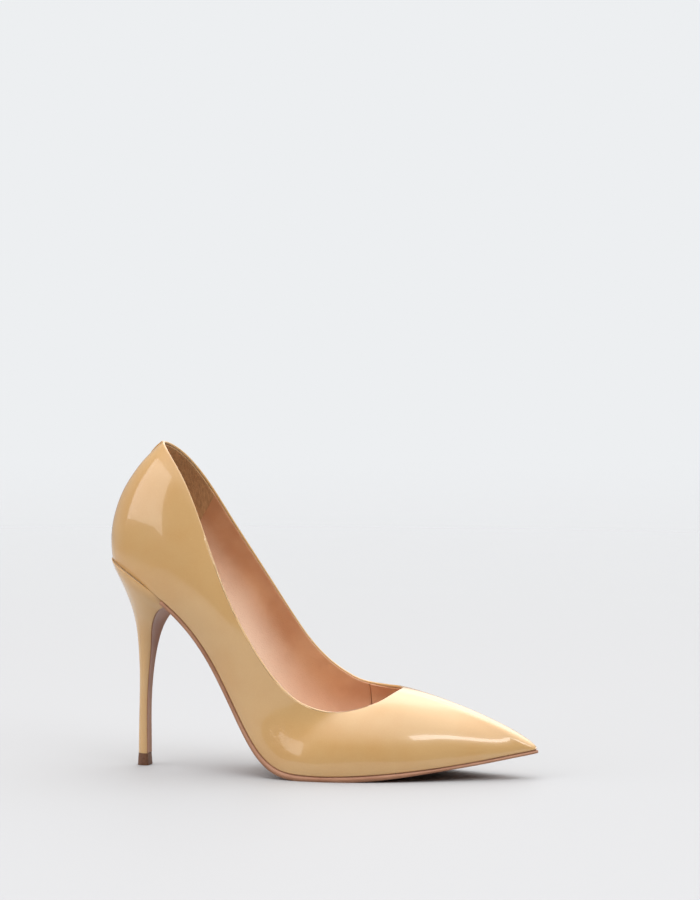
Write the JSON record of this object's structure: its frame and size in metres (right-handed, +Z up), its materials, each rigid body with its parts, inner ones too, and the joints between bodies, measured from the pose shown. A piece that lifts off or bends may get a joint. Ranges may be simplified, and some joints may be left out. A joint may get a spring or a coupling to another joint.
{
  "type": "high heel pump",
  "caption": "Pointed stiletto court shoe for the right foot, with a patent upper, a slim covered heel and a small back tab.",
  "frame": {"origin": "centre of the top lift's ground face, on the floor under the heel", "axes": "+X from the heel towards the toe, +Y to the medial side of the foot, +Z up"},
  "size_m": [0.2173, 0.074, 0.1622],
  "materials": {
    "patent": "gloss patent leather, golden nude",
    "lining_leather": "reddish brown lining leather",
    "suede": "dark olive brown suede",
    "sock": "pale pink satin sock",
    "outsole_leather": "smooth sole leather, stained edge",
    "board": "pressed fibre board",
    "stiffener": "thermoplastic-filled stiffener cloth",
    "backing": "woven backing",
    "foam": "latex foam",
    "heel_plastic": "moulded heel plastic",
    "lift_rubber": "hard polyurethane, brown",
    "steel": "plain steel"
  },
  "bodies": {
    "root": {"upper": "patent", "back_tab": "patent", "heel_cover": "patent", "heel_grip": "suede", "quarter_lining_lateral": "lining_leather", "quarter_lining_medial": "lining_leather", "vamp_lining": "lining_leather", "sock_lining": "sock", "sock_foam": "foam", "topline_tape": "backing", "side_stay_lateral": "backing", "side_stay_medial": "backing", "counter_stiffener": "stiffener", "toe_puff": "stiffener", "insole_board": "board", "shank_board": "board", "bottom_filler": "foam", "shank": "steel", "shank_rivets": "steel", "heel_screw": "steel", "heel_nails": "steel", "heel_tube": "steel", "top_lift_pin": "steel", "outsole": "outsole_leather", "heel_core": "heel_plastic", "top_lift": "lift_rubber"}
  },
  "joints": []
}
